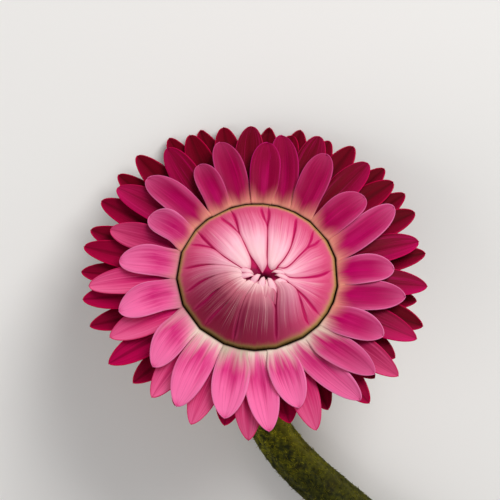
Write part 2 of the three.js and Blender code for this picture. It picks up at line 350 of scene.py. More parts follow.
def spread_bract(tier, bract, follow_hinge, hinge_spans=None):
    """Returns the formula that bends a sheet into this bract."""
    base_bearing, tip_bearing = math.radians(bract[0]), math.radians(bract[1])
    reach, lift = bract[2], bract[3]
    width = bract[4] if len(bract) > 4 else tier["width"]
    root, root_height = tier["root"], tier["root_height"]
    own_hinge = HINGE_SHARE * width / 2
    hinges = (own_hinge, own_hinge)
    if hinge_spans:
        hinges = [HINGE_OVERLAP * root * math.radians(span) for span in hinge_spans]
    stemward = ease(math.cos(base_bearing - POINTED_BEARING), -0.5, 0.5)
    point = 0.1 + 0.3 * tier["tier"] + 0.6 * stemward
    roll = tier["roll"] * chance.uniform(-1, 1)
    pleat_turn = chance.uniform(0, TURN)
    pleats = chance.uniform(2.2, 3.4)
    curl = chance.uniform(-0.1, 0.2)
    wave_turn = chance.uniform(0, TURN)

    def place(across, share):
        along = crowded(share)
        bearing = base_bearing + (tip_bearing - base_bearing) * along
        radius = root + (reach - root) * along
        hinge = hinges[0] if across < 0 else hinges[1]
        near_hinge = 1 - ease(along, 0, HINGE_REACH)
        half_width = width_share(along, point) * width / 2
        side = across * (half_width + (hinge - own_hinge) * near_hinge)
        spot = polar(bearing, radius) + polar(bearing + QUARTER, side)
        depth, lip = 0.0, 0.0
        if follow_hinge:
            on_hinge = polar(base_bearing, root) + polar(base_bearing + QUARTER, across * hinge)
            shift = crack_radius(math.atan2(on_hinge.y, on_hinge.x)) - on_hinge.length
            spot += on_hinge.normalized() * shift * (1 - along) ** 2
            # Right at the hinge the lip is marked deep, so it is painted dark as shade.
            depth = math.exp(-along / LIP_SHADE)
            lip = LIP_DROP * math.exp(-along / LIP_LENGTH)
        swell = math.sin(math.pi * along)
        fall = (tier["tip_height"] - root_height) * along * along
        cupping = ease(along, 0.12, 0.6) * (1 - CUP_LOSS_AT_TIP * ease(along, 0.65, 1))
        trough = tier["cup"] * (abs(across) ** 1.5 - CUP_LEVEL) * cupping
        pleat = PLEAT_HEIGHT * math.cos(pleats * math.pi * across + pleat_turn) * swell
        wave = WAVE_HEIGHT * math.sin(HALF_WAVES * math.pi * along + wave_turn)
        spot.z = (
            root_height + fall + tier["arch"] * swell + lift * min(1, 3 * along)
            + trough + pleat + wave * across * abs(across) + roll * across * swell
            + curl * ease(along, 0.7, 1) - lip
        )
        margin = (1 - abs(across)) * abs(side / across) if across else width / 2
        local = {"depth": depth, "margin": margin, "lit": -across * math.cos(bearing)}
        return above_surface(spot), local

    return place


def add_tier(piece, tier, columns, rows, follow_hinge):
    bracts = tier["bracts"]
    darkest = SHADED_BEARING if follow_hinge else OUTER_SHADED_BEARING
    for i, bract in enumerate(bracts):
        before, after = bracts[i - 1][0], bracts[(i + 1) % len(bracts)][0]
        spans = ((bract[0] - before) % 360 / 2, (after - bract[0]) % 360 / 2)
        add_sheet(
            piece, columns, rows, spread_bract(tier, bract, follow_hinge, spans),
            tone=chance.uniform(0, 1), shade=shade_of(math.radians(bract[0]), darkest),
            tier=tier["tier"], faded=faded_share(bract[0]) * chance.uniform(0.75, 1.1),
        )


widths = [round(width_share(i / 4, 0), 2) for i in range(5)]
print("a round bract's widths from hinge to tip, as shares:", widths)

# %% [markdown]
# Under the visible blades the bracts narrow to claws, which stand side by side like the
# staves of a barrel. They close the head below the crack. One outline turned about the
# head's axis gives that wall, and a spin makes it.

# %% Walls of claws
WALL_STEPS = 120
WALL_UV_SCALE = 12
FAR_FROM_EDGE = 2.0


def add_wall(piece, outline, along_at, tier=0.0, depth_at=None, polygonal=False):
    """Spins an outline of (radius, height) about the head's axis. The function
    depth_at tells how dark the wall is painted, as shade, at a distance from the axis."""
    sheets = set(piece.faces)
    first = [piece.verts.new((radius, 0, height)) for radius, height in outline]
    edges = [piece.edges.new(pair) for pair in zip(first, first[1:])]
    bmesh.ops.spin(
        piece, geom=first + edges, cent=(0, 0, 0), axis=(0, 0, 1),
        angle=TURN, steps=WALL_STEPS, use_merge=True, use_duplicate=False,
    )
    faces = [face for face in piece.faces if face not in sheets]
    layers = attribute_layers(piece)
    for vert in {vert for face in faces for vert in face.verts}:
        bearing = math.atan2(vert.co.y, vert.co.x)
        vert[layers["tier"]] = tier
        vert[layers["shade"]] = shade_of(bearing)
        vert[layers["margin"]] = FAR_FROM_EDGE
        if depth_at:
            vert[layers["depth"]] = depth_at(vert.co.xy.length)
        if polygonal:
            stretch = crack_radius(bearing) / CRACK_OUTSIDE
            vert.co.x *= stretch
            vert.co.y *= stretch
    uv = piece.loops.layers.uv[UV_NAME]
    for face in faces:
        middle = face.calc_center_median()
        turn = math.atan2(middle.y, middle.x)
        for loop in face.loops:
            bearing = math.atan2(loop.vert.co.y, loop.vert.co.x)
            bearing += TURN * round((turn - bearing) / TURN)
            loop[uv].uv = (bearing * WALL_UV_SCALE, along_at)


print("a wall's corners round the axis:", WALL_STEPS)

# %% The magenta bracts and the crimson bracts
INNER_CLAWS = [
    (7.0, -9.6), (8.9, -7.9), (10.75, -4.8), (11.5, -1.9), (11.3, -1.1), (11.02, -0.5),
    (10.85, -1.5), (9.85, -4.55), (8.05, -7.3), (6, -9.3), (7.0, -9.6),
]
OUTER_CLAWS = [
    (8.3, -10.3), (10, -8.7), (11.95, -5.3), (12.6, -3.3), (12.3, -2.9), (12.0, -3.2),
    (11.1, -5), (9.25, -8.2), (7.6, -9.95), (8.3, -10.3),
]
CLAW_ALONG = 0.03
magenta = new_piece_mesh()
add_tier(magenta, FRONT_TIER, 14, 30, follow_hinge=True)
add_tier(magenta, SECOND_TIER, 12, 24, follow_hinge=False)
# Inside the crack the claws are marked deep, so they are painted nearly black as shade.
add_wall(
    magenta, INNER_CLAWS, CLAW_ALONG, polygonal=True,
    depth_at=lambda radius: ease(-radius, -11.2, -10.95),
)
magenta_bracts = finish_mesh(magenta, "magenta_bracts", head_to_world, PAPER)

crimson = new_piece_mesh()
add_tier(crimson, THIRD_TIER, 12, 22, follow_hinge=False)
add_tier(crimson, FOURTH_TIER, 12, 22, follow_hinge=False)
add_wall(crimson, OUTER_CLAWS, CLAW_ALONG, tier=1.0)
crimson_bracts = finish_mesh(crimson, "crimson_bracts", head_to_world, PAPER)

# %% [markdown]
# ## The closed dome
# The closed bracts rise from the inside of the crack and fold over the florets, and their
# tips meet at a small star, a little right of the middle. Where two bracts meet there is a
# seam. Each seam below is a line of points from the crack to the star, as bearing in degrees
# and distance from the axis in millimetres. Some seams fork near the crack, and a deeper
# bract shows in the fork. The star opens between the ends of the seams e3 and e4.

# %% Seams between the closed bracts
DOME_EDGE = CRACK_OUTSIDE - CRACK_WIDTH
SEAMS = {
    "a": [(4, 10.2), (357, 8.7), (351, 7.1), (345, 5.5), (342, 4.5), (344, 3.8)],
    "b_low": [(31, 9.9), (28, 8.8)],
    "b_high": [(41, 10.1), (35, 9.0)],
    "b": [(27, 7.7), (19, 6.0), (6, 4.5), (358, 3.6), (359, 2.6)],
    "c": [(57, 9.8), (49, 7.7), (35, 5.5), (20, 3.9), (4, 2.8), (355, 2.5)],
    "d_low": [(81, 10.2), (79, 8.3)],
    "d_high": [(87, 10.0), (84, 8.2)],
    "d": [(78, 6.7), (71, 4.2), (55, 2.3), (16, 1.4)],
    "e_low": [(110, 9.6), (111, 7.9)],
    "e_high": [(120, 9.0), (118, 7.6)],
    "e": [(115, 5.6), (116, 4.0), (119, 2.3)],
    "e3": [(114, 0.9)],
    "e4": [(128, 1.3), (169, 0.8)],
    "f_low": [(141, 10.3), (145, 8.9)],
    "f_high": [(154, 10.2), (153, 8.9)],
    "f": [(152, 6.7), (160, 4.7), (175, 2.7), (198, 1.6)],
    "g": [(175, 9.3), (174, 7.6), (174, 5.6), (181, 2.7), (218, 1.8)],
    "h": [(195, 9.4), (192, 7.7), (190, 5.6), (193, 3.1), (222, 1.9)],
    "i": [(212, 9.3), (212, 8.1), (210, 6.6), (209, 4.6), (213, 2.6)],
    "j": [(227, 9.3), (229, 7.2), (231, 5.8), (231, 4.3), (235, 2.4)],
    "k": [(252, 9.9), (250, 7.1), (250, 4.6), (256, 3.0), (265, 2.2)],
    "l_low": [(285, 10.0), (292, 6.6)],
    "l": [(304, 4.7), (310, 3.8), (314, 2.8)],
    "l_fold": [(293, 6.0), (294, 5.0), (293, 3.9), (290, 2.9)],
    "m_low": [(313, 9.8), (316, 8.7), (322, 7.4)],
    "m_high": [(325, 9.6), (326, 8.6), (328, 7.4)],
    "m": [(330, 6.1), (332, 4.8), (333, 4.5)],
}
SLITS = {"g": 0.06, "h": 0.07, "i": 0.09, "j": 0.06, "m_low": 0.05}
SOFT_SEAMS = {"g": 0.85, "h": 0.9, "i": 0.9, "j": 1.0, "k": 0.75}
EDGE_STEPS = 60


def edge_line(names, tip):
    """A bract's edge from the crack, along its seams, to its tip, in equal steps."""
    points = [point for name in names.split() for point in SEAMS[name]]
    ring = math.radians(points[0][0])
    line = [polar(ring, crack_radius(ring, DOME_EDGE))]
    line += [polar(math.radians(bearing), radius) for bearing, radius in points]
    line = smooth_path([*line, tip], 4 * EDGE_STEPS)
    travelled = [0.0]
    for before, after in zip(line, line[1:]):
        travelled.append(travelled[-1] + (after - before).length)
    even, i = [], 0
    for step in range(EDGE_STEPS + 1):
        while i < len(line) - 2 and travelled[i + 1] < travelled[-1] * step / EDGE_STEPS:
            i += 1
        even.append(line[i])
    even[-1] = tip
    return even


def point_on(line, share):
    place = min(max(share, 0), 1) * EDGE_STEPS
    i = min(int(place), EDGE_STEPS - 1)
    return line[i].lerp(line[i + 1], place - i)


print("seams:", len(SEAMS), "soft:", len(SOFT_SEAMS), "gaping:", len(SLITS))

# %% [markdown]
# Each closed bract below has a seam on either side, a tip and a height over its neighbours.
# Five of the seams gape as slits, where the layer beneath shows. The seams g to k, on the
# left and below, are soft: their deep colour fades before it reaches the star. On the dome
# three attributes tell other things: tier how far a point has risen from the crack towards
# the middle, shade how bright its side is, partly as painted shade, and faded how soft the
# nearest seam is.

# %% Closed bracts
DOME_RISE = 3.1
DOME_ROUNDNESS = 2.4
STAR_HOLLOW = 0.5
DOME_WALL_SHARE = 0.1
DOME_WALL_DEPTH = 1.6
DOME_WALL_TAPER = 0.012
SEAM_OVERLAP = 0.03
GAPE_START = 0.07
GAPE_LENGTH = 0.5
CROWN_MOST = 0.36
DIP_SHARE = 0.08
DIP_MOST = 0.18
DIP_LOSS_AT_SOFT_SEAM = 0.75
PLEAT_SHARE = 0.012
TIP_CURL = 0.4
DARK_BEARING = 243
DARK_REACH = (24, 88)
CLOSED_BRACTS = [
    ("a", "b_low b", (346, 2.9), 0.02),
    ("b_low", "b_high", (27, 7.6), -0.1),
    ("b_high b", "c", (352, 2.3), 0.0),
    ("c", "d_low d", (349, 1.9), 0.06),
    ("d_low", "d_high", (79, 6.6), -0.1),
    ("d_high d", "e_low e e3", (313, 1.0), 0.0),
    ("e_low", "e_high", (115, 5.6), -0.1),
    ("e_high e e4", "f_low f", (208, 1.1), 0.08),
    ("f_low", "f_high", (152, 6.6), -0.1),
    ("f_high f", "g", (220, 1.3), 0.03),
    ("g", "h", (229, 1.5), 0.0),
    ("h", "i", (232, 1.8), 0.03),
    ("i", "j", (240, 2.0), 0.0),
    ("j", "k", (253, 1.6), 0.03),
    ("k", "l_low l", (312, 2.1), -0.02),
    ("k", "l_low l_fold", (283, 1.9), 0.14),
    ("l_low l", "m_low m", (332, 4.3), 0.08),
    ("m_low", "m_high", (330, 6.0), -0.08),
    ("m_high m", "a", (330, 3.5), 0.0),
]


def dome_height(radius):
    share = min(radius / DOME_EDGE, 1)
    return DOME_RISE * (1 - share ** DOME_ROUNDNESS) - STAR_HOLLOW * (1 - share) ** 3


def ring_share(spot):
    """0 on the axis and 1 on the crack's polygon."""
    return spot.xy.length / crack_radius(math.atan2(spot.y, spot.x), DOME_EDGE)


def dome_shade(line):
    """0 for a seam that meets the crack on the dome's dark side, and 1 on its bright side. The
    dark side is partly the dome's own deeper colour and partly painted shade.
    """
    bearing = math.degrees(math.atan2(line[0].y, line[0].x))
    return ease(abs(degrees_between(bearing, DARK_BEARING)), *DARK_REACH)


def closed_bract(low_names, high_names, tip_place, lift):
    """Returns the formula that bends a sheet into this bract, between its two seams."""
    tip = polar(math.radians(tip_place[0]), tip_place[1])
    edges = [edge_line(names, tip) for names in (low_names, high_names)]
    seams = [names.split()[0] for names in (low_names, high_names)]
    slits = [SLITS.get(seam, 0.0) for seam in seams]
    softs = [SOFT_SEAMS.get(seam, 0.0) for seam in seams]
    low_shade, high_shade = (dome_shade(edge) for edge in edges)
    pleat_turn = chance.uniform(0, TURN)
    pleats = chance.uniform(2.5, 4.0)
    crown_share = chance.uniform(0.08, 0.1)

    def place(across, share):
        rise = crowded(share)
        along = max((rise - DOME_WALL_SHARE) / (1 - DOME_WALL_SHARE), 0)
        sunk = 1 - min(rise / DOME_WALL_SHARE, 1)
        gape = math.sin(math.pi * min(max((along - GAPE_START) / GAPE_LENGTH, 0), 1))
        low_margin, high_margin = (SEAM_OVERLAP - slit * gape for slit in slits)
        spread = -low_margin + (1 + low_margin + high_margin) * (across + 1) / 2
        low, high = (point_on(edge, along) for edge in edges)
        spot = low.lerp(high, spread)
        wanted = ring_share(low) * (1 - spread) + ring_share(high) * spread
        rounding = 1 - ease(along, 0.3, 0.8)
        spot *= 1 + (wanted / ring_share(spot) - 1) * rounding
        width = (high - low).length
        crown = min(crown_share * width, CROWN_MOST) * ease(along, -0.1, 0.25)
        bulge = crown * (1 - abs(across) ** 2.2)
        soft = (softs[0] if across < 0 else softs[1]) * ease(along, 0.25, 0.5)
        dip = min(DIP_SHARE * width, DIP_MOST) * abs(across) ** 7 * ease(along, 0.02, 0.15)
        dip *= 1 - DIP_LOSS_AT_SOFT_SEAM * soft
        pleat = PLEAT_SHARE * width * math.cos(pleats * math.pi * across + pleat_turn)
        curl = TIP_CURL * ease(along, 0.88, 1)
        skin = dome_height(spot.length) + bulge - dip - curl + lift * ease(along, 0, 0.2)
        skin += pleat * ease(along, 0.05, 0.3)
        level = 1 - ring_share(spot)
        spot.z = skin - DOME_WALL_DEPTH * sunk
        spot.x *= 1 - DOME_WALL_TAPER * sunk
        spot.y *= 1 - DOME_WALL_TAPER * sunk
        # Where the bract sinks into the crack it is marked deep, and painted dark as shade.
        local = {
            "depth": ease(sunk, 0.1, 0.7), "tier": level,
            "shade": low_shade + (high_shade - low_shade) * spread,
            "margin": max(min(spread, 1 - spread), 0) * width,
            "faded": softs[0] if spread < 0.5 else softs[1],
        }
        return spot, local

    return place


dome = new_piece_mesh()
for row in CLOSED_BRACTS:
    add_sheet(dome, 18, 38, closed_bract(*row), tone=chance.uniform(0, 1))
print("closed bracts:", len(CLOSED_BRACTS))

# %% [markdown]
# Under them lies a second layer of closed bracts, seen only through the slits and in the
# star, as deep magenta. It is one turned skin, a little lower, with the star pressed into it.

# %% The layer beneath, and the star
UNDER_TIER = 2.0
UNDER_DROP = 0.24
UNDER_INSET = 0.35
UNDER_STEPS = 22
UNDER_SIDE = [(10.1, -1.5), (9.3, -4.5), (7.5, -7.2), (5.2, -8.9), (0.02, -9)]
STAR_CENTRE = Vector((0.9, -1.15, 0))
STAR_HALF_SIZE = (1.3, 0.8)
STAR_DEPTH = 1.2

radii = [(DOME_EDGE - UNDER_INSET) * i / UNDER_STEPS for i in range(1, UNDER_STEPS + 1)]
under_outline = [(radius, dome_height(radius) - UNDER_DROP) for radius in (0.02, *radii)]
add_wall(dome, (under_outline + UNDER_SIDE)[::-1], 0.5, tier=UNDER_TIER)
layers = attribute_layers(dome)
for vert in dome.verts:
    if vert[layers["tier"]] < UNDER_TIER or vert.co.z < 0:
        continue
    offset = vert.co - STAR_CENTRE
    away = math.hypot(offset.x / STAR_HALF_SIZE[0], offset.y / STAR_HALF_SIZE[1])
    pit = math.exp(-away * away)
    vert.co.z -= STAR_DEPTH * pit
    # The star's pit is marked deep, so the finish paints it dark as shade.
    vert[layers["depth"]] = pit
print("points in the dome and the layer beneath:", len(dome.verts))

# %% [markdown]
# The very ends of the closed bracts are crumpled into small lobes round the star. Each row
# below is one lobe: the place of its middle, its bearing, its length and its width.

# %% Small lobes beside the star
STAR_LOBES = [
    (-1.5, -0.55, -18, 2.0, 0.8), (-1.45, -1.25, 5, 2.0, 0.8), (-0.27, -1.72, 50, 1.9, 0.9),
    (1.92, -2.61, 112, 2.4, 1.0), (0.58, -2.6, 78, 2.6, 1.1), (3.0, -0.8, 170, 2.0, 0.7),
    (3.35, -1.4, 160, 2.0, 0.7), (3.1, -2.05, 190, 1.8, 0.8),
]
LOBE_RISE = 0.1
LOBE_LIFT = 0.12
LOBE_TIP_DROP = 0.5
LOBE_ROOT_DROP = 0.35


def star_lobe(x, y, bearing, length, width):
    direction = math.radians(bearing)

    def place(across, along):
        outline = math.sin(math.pi * (0.1 + 0.88 * along)) ** 0.8 * (1.2 - 0.5 * along)
        reach = length * (along - 0.5)
        side = across * width / 2 * outline
        spot = Vector((x, y, 0)) + polar(direction, reach) + polar(direction + QUARTER, side)
        arch = LOBE_RISE * (1 - across * across) * outline
        sinking = LOBE_TIP_DROP * ease(along, 0.8, 1) + LOBE_ROOT_DROP * (1 - ease(along, 0, 0.6))
        spot.z = dome_height(spot.length) + arch + LOBE_LIFT - sinking
        return spot, {"tier": 0.5 + 0.36 * along, "margin": (1 - abs(across)) * width}

    return place


for lobe in STAR_LOBES:
    add_sheet(dome, 8, 12, star_lobe(*lobe), tone=chance.uniform(0, 1), shade=1.0)
closed_dome = finish_mesh(dome, "closed_dome", head_to_world, PAPER)

# %% [markdown]
# ## Scales under the head
# The underside is covered by short papery scales that overlap like roof tiles. They are the
# same bent sheets, shorter and blunter, in rows that step round by half a scale. Each row
# has a count, then root radius and height, reach, tip height and width.

# %% Straw-coloured scales
SCALE_ROWS = [
    (16, 12.7, -5.4, 17.0, -6.0, 5.4), (14, 12.3, -6.7, 16.7, -7.4, 5.4),
    (13, 11.6, -7.9, 16.0, -8.7, 5.4), (12, 10.6, -9.2, 14.6, -9.9, 5.2),
    (10, 9.4, -10.4, 12.8, -11.2, 5.2), (8, 7.8, -11.3, 11.0, -12.0, 5.0),
    (7, 6.0, -12.0, 9.4, -12.7, 4.8), (7, 2.9, -12.8, 6.9, -13.2, 4.4),
]
SCALE_BOWL = [
    (13.1, -6), (13.4, -4.4), (12.95, -4.2), (12.3, -5.6), (10.4, -9), (8.6, -10.65),
    (7.9, -11.1), (5.1, -11.8), (3.8, -12.8), (4.4, -13.2), (5.3, -12.6), (8.8, -11.7),
    (11, -9.6), (13.1, -6),
]
SCALE_SKEW = 3
scales = new_piece_mesh()
for number, (count, root, root_height, reach, tip_height, width) in enumerate(SCALE_ROWS):
    shape = {
        "tier": 0.5, "root": root, "root_height": root_height, "tip_height": tip_height,
        "arch": 0.3, "width": width, "cup": -0.45, "roll": 0.1,
    }
    for i in range(count):
        bearing = 360 / count * (i + 0.5 * (number % 2)) + chance.uniform(-2, 2)
        length = reach + chance.uniform(-0.3, 0.3)
        add_sheet(
            scales, 10, 12,
            spread_bract(shape, (bearing, bearing + SCALE_SKEW, length, 0), False),
            tone=chance.uniform(0, 1), shade=shade_of(math.radians(bearing)),
            tier=number / (len(SCALE_ROWS) - 1),
        )
add_wall(scales, SCALE_BOWL, 0.1, tier=1.0)
straw_scales = finish_mesh(scales, "straw_scales", head_to_world, PAPER)

# %% [markdown]
# ## The stem
# The stem leaves the head along its axis, turns down to the surface and lies on it. It is a
# grid rolled into a tube along the route, with shallow ribs, and a flat underside where it
# rests. The route's points are the solid's own, but for the last, a little short of its cut.

# %% The stem's route
STEM_RADIUS = 2.55
CUT_RADIUS = 3.3
STEM_FLAT = 0.14
BEND_RADIUS = 8.4
BEND_STEPS = 12
LYING_STEPS = 90
RECEPTACLE = [
    (5.4, -9.35), (7.45, -10.35), (7.55, -10.65), (4.9, -11.35), (3.3, -12.4), (2.55, -13.4),
]
LYING_ROUTE = [
    (0.5, -20.3), (2.2, -25), (5.8, -29.6), (11, -34.4), (17.4, -39.8), (24, -45), (30.2, -49.9),
]


def stem_stations():
    """Centres and radii of the stem from the receptacle to the cut, in world millimetres."""
    made = [(head_to_stem @ Vector((0, 0, height)), radius) for radius, height in RECEPTACLE]
    neck_end = made[-1][0]
    steepest = QUARTER - HEAD_LEAN
    for i in range(1, BEND_STEPS + 1):
        slope = steepest * (1 - i / BEND_STEPS)
        back = BEND_RADIUS * (math.sin(steepest) - math.sin(slope))
        down = BEND_RADIUS * (math.cos(slope) - math.cos(steepest))
        made.append((neck_end - Vector((0, back, down)), STEM_RADIUS))
    bend_end = made[-1][0]
    under_head = Vector((HEAD_CENTRE.x, HEAD_CENTRE.y, 0))
    lying = [under_head + Vector((x, y, bend_end.z)) for x, y in LYING_ROUTE]
    path = smooth_path([bend_end, *lying], LYING_STEPS)
    for i, centre in enumerate(path[1:], start=1):
        radius = STEM_RADIUS + (CUT_RADIUS - STEM_RADIUS) * i / LYING_STEPS
        centre.z = radius - STEM_FLAT
        made.append((centre, radius))
    return made


stations = stem_stations()
print("stem stations:", len(stations), "cut end at", [round(c, 1) for c in stations[-1][0]])

# %% [markdown]
# The tube's direction across is carried from station to station, so it never twists. At the
# cut the tube is extruded inward in rings, which show as pale pith.

# %% The stem's body
RIBS = 9
RIB_HEIGHT = 0.045
WOBBLE = 0.02
STEM_COLUMNS = 108
CUT_RINGS = ((0.12, 0.9, 0), (0.12, 0.94, 1), (0.05, 0.5, 1), (0.35, 0.25, 0.7))


def station_frames():
    """The directions across, up and along the stem at every station."""
    side = Vector((1, 0, 0))
    made = []
    for i in range(len(stations)):
        ahead = stations[min(i + 1, len(stations) - 1)][0]
        behind = stations[max(i - 1, 0)][0]
        forward = (ahead - behind).normalized()
        up = side.cross(forward).normalized()
        side = forward.cross(up)
        made.append((side.copy(), up, forward))
    return made


frames = station_frames()


def stem_point(around, along):
    """A point on the stem's skin and its outward direction: around in turns, along in
    stations."""
    row = min(int(along), len(stations) - 2)
    t = along - row
    (centre_a, radius_a), (centre_b, radius_b) = stations[row], stations[row + 1]
    centre = centre_a.lerp(centre_b, t)
    radius = radius_a + (radius_b - radius_a) * t
    side, up = (a.lerp(b, t).normalized() for a, b in zip(frames[row][:2], frames[row + 1][:2]))
    angle = TURN * around
    rib = 1 + RIB_HEIGHT * math.cos(RIBS * angle)
    bark = Vector((math.cos(angle) * 2, math.sin(angle) * 2, along * 0.2))
    wobble = 1 + WOBBLE * noise.noise(bark)
    out = side * math.cos(angle) + up * math.sin(angle)
    spot = centre + out * (radius * rib * wobble)
    spot.z = max(spot.z, SURFACE_CLEARANCE)
    return spot, out


last_station = len(stations) - 1
stem = new_piece_mesh()
add_sheet(
    stem, STEM_COLUMNS, last_station,
    lambda across, along: (stem_point((across + 1) / 2, along * last_station)[0], {}),
)
cut_centre = stations[-1][0]
cut_edges = [
    edge for edge in stem.edges
    if edge.is_boundary and (edge.verts[0].co - cut_centre).length < 2 * CUT_RADIUS
]
pith_layer = stem.verts.layers.float["faded"]
for drop, shrink, pith in CUT_RINGS:
    grown = bmesh.ops.extrude_edge_only(stem, edges=cut_edges)["geom"]
    for vert in (g for g in grown if isinstance(g, bmesh.types.BMVert)):
        flat = vert.co - cut_centre
        vert.co = cut_centre + flat * shrink - frames[-1][2] * drop
        vert[pith_layer] = pith
    cut_edges = [g for g in grown if isinstance(g, bmesh.types.BMEdge)]
bmesh.ops.contextual_create(stem, geom=cut_edges)
bmesh.ops.contextual_create(stem, geom=[edge for edge in stem.edges if edge.is_boundary])
green_stem = finish_mesh(stem, "green_stem_body", in_metres)

# %% [markdown]
# Short woolly hairs lie all over the stem. Each is a three-sided needle, at most a
# millimetre long, that leans at random over the skin.

# %% Hairs on the stem
HAIR_COUNT = 3200
HAIR_ROOT_RADIUS = 0.055
HAIR_TIP_RADIUS = 0.008
HAIR_SUNK_SHARE = 0.05
FIRST_HAIRY_STATION = 5
LOWEST_HAIR = 0.6
hairs = new_piece_mesh()
for i in range(HAIR_COUNT):
    around = chance.random()
    along = FIRST_HAIRY_STATION + (last_station - 6) * chance.random()
    length = chance.uniform(0.4, 1.0)
    spot, out = stem_point(around, along)
    if spot.z < LOWEST_HAIR:
        continue
    tangent = out.orthogonal().normalized()
    tangent.rotate(Matrix.Rotation(chance.uniform(0, TURN), 3, out))
    lean = (tangent + out * chance.uniform(0.05, 0.35)).normalized()
    turn = lean.to_track_quat("Z", "Y").to_matrix().to_4x4()
    middle = spot + lean * length * (0.5 - HAIR_SUNK_SHARE)
    bmesh.ops.create_cone(
        hairs, segments=3, radius1=HAIR_ROOT_RADIUS, radius2=HAIR_TIP_RADIUS, depth=length,
        matrix=Matrix.Translation(middle) @ turn, cap_ends=True, cap_tris=True,
    )
stem_hairs = finish_mesh(hairs, "stem_hairs", in_metres)

# %% [markdown]
# ## Finishes
# All colour is worked out from the fibre map, the attributes and noise, so it follows each
# bract wherever it bends. What a node works out is kept as a value, and the plain signs
# between values add maths nodes, so a finish reads like a formula. Colours are written as
# they look on a screen, each channel from 0 to 255.

# %% Values worked out by nodes
class Value:
    """A number or a colour that a node works out."""

    def __init__(self, node, output=0):
        self.node, self.socket, self.tree = node, node.outputs[output], node.id_data

    def maths(self, operation, *values):
        return add_node(
            self.tree, "ShaderNodeMath", dict(enumerate(values)), operation=operation
        )

    def __add__(self, other):
        return self.maths("ADD", self, other)

    def __sub__(self, other):
        return self.maths("SUBTRACT", self, other)

    def __rsub__(self, other):
        return self.maths("SUBTRACT", other, self)

    def __mul__(self, other):
        return self.maths("MULTIPLY", self, other)

    def __truediv__(self, other):
        return self.maths("DIVIDE", self, other)

    def __abs__(self):
        return self.maths("ABSOLUTE", self)

    def at_least(self, other):
        return self.maths("MAXIMUM", self, other)


def set_inputs(node, inputs):
    """Gives a node's inputs plain values, or links them to worked out ones."""
    for key, value in inputs.items():
        if isinstance(value, Value):
            node.id_data.links.new(value.socket, node.inputs[key])
        else:
            node.inputs[key].default_value = value


def add_node(tree, kind, inputs=None, output=0, **settings):
    node = tree.nodes.new(kind)
    for name, value in settings.items():
        setattr(node, name, value)
    set_inputs(node, inputs or {})
    return Value(node, output)


def srgb(red, green, blue):
    """A colour as seen on a screen turned into the linear values that nodes want."""
    return tuple(((c / 255 + 0.055) / 1.055) ** 2.4 if c > 10 else c / 255 / 12.92
                 for c in (red, green, blue)) + (1,)


def between(value, start, end):
    """0 where the value is at start or before, 1 at end or after, and smooth between."""
    return add_node(
        value.tree, "ShaderNodeMapRange", {"Value": value, "From Min": start, "From Max": end},
        interpolation_type="SMOOTHSTEP",
    )


def mixed(share, first, second):
    """The first colour where share is 0 and the second where it is 1."""
    first, second = (c if isinstance(c, Value) else srgb(*c) for c in (first, second))
    return add_node(
        share.tree, "ShaderNodeMix", {0: share, 6: first, 7: second}, output=2, data_type="RGBA"
    )


def ramp(share, stops):
    """Colours along a share. Each stop is its place, then red, green and blue."""
    made = add_node(share.tree, "ShaderNodeValToRGB", {0: share})
    elements = made.node.color_ramp.elements
    stops = [(stop[0], srgb(*stop[1:])) for stop in stops]
    elements[0].position, elements[0].color = stops[0]
    elements[1].position, elements[1].color = stops[-1]
    for position, colour in stops[1:-1]:
        elements.new(position).color = colour
    return made


print("a screen's middle grey, for a node:", round(srgb(128, 128, 128)[0], 3))

# %% What a finish can follow
TONE_SPREAD = 37.0


class Surface:
    """The values a finish can follow: the place, its part along the lying flower, the
    fibre map and the attributes."""

    def __init__(self, tree):
        self.tree = tree
        self.place = add_node(tree, "ShaderNodeTexCoord", output="Object")
        self.lengthwise = add_node(tree, "ShaderNodeSeparateXYZ", {0: self.place}, output=1)
        fibre_map = add_node(tree, "ShaderNodeUVMap", uv_map=UV_NAME)
        self.across = add_node(tree, "ShaderNodeSeparateXYZ", {0: fibre_map}, output=0)
        self.along = add_node(tree, "ShaderNodeSeparateXYZ", {0: fibre_map}, output=1)
        self.off_middle = abs(self.across - 0.5)
        for name in ATTRIBUTES:
            value = add_node(tree, "ShaderNodeAttribute", output="Fac", attribute_name=name)
            setattr(self, name, value)


def streaks(on, fineness, length, detail=3.0):
    """Noise drawn out along the fibres: many changes across, few along."""
    place = add_node(on.tree, "ShaderNodeCombineXYZ", {
        0: on.across * fineness, 1: on.along * length, 2: on.tone * TONE_SPREAD,
    })
    return add_node(on.tree, "ShaderNodeTexNoise", {
        "Vector": place, "Scale": 1.0, "Detail": detail, "Roughness": 0.6,
    })


def fibres(on):
    """The relief of every papery piece."""
    return streaks(on, 46.0, 2.5, 2.0)


def new_material(name):
    material = bpy.data.materials.new(name)
    material.use_nodes = True
    return material, material.node_tree.nodes["Principled BSDF"]


def give_finish(piece, name, paint, roughness, gloss, relief, strength=0.55):
    """Gives a piece a material. Its colour and relief come from paint(surface)."""
    material, shader = new_material(name)
    colour, height = paint(Surface(material.node_tree))
    bump = add_node(material.node_tree, "ShaderNodeBump", {
        "Strength": strength, "Distance": relief * MM, "Height": height,
    })
    set_inputs(shader, {
        "Base Color": colour, "Roughness": roughness, "Specular IOR Level": gloss,
        "Normal": bump,
    })
    piece.data.materials.append(material)
    print(name, "nodes:", len(material.node_tree.nodes))


print("a finish can follow the place, the fibre map and", len(ATTRIBUTES), "attributes")

# %% [markdown]
# The front bracts are cream or salmon at the hinge, deep magenta above it and paler towards
# the tip. On the low side of the head they are painted darker, as shade, and on the stem side
# bright pink, as painted light, with almost white hinges. Two colours, one for each side, are
# mixed by the shade attribute.

# %% Magenta bracts' finish
CREAM_STARTS = 9.5
CREAM_ENDS = 13.5


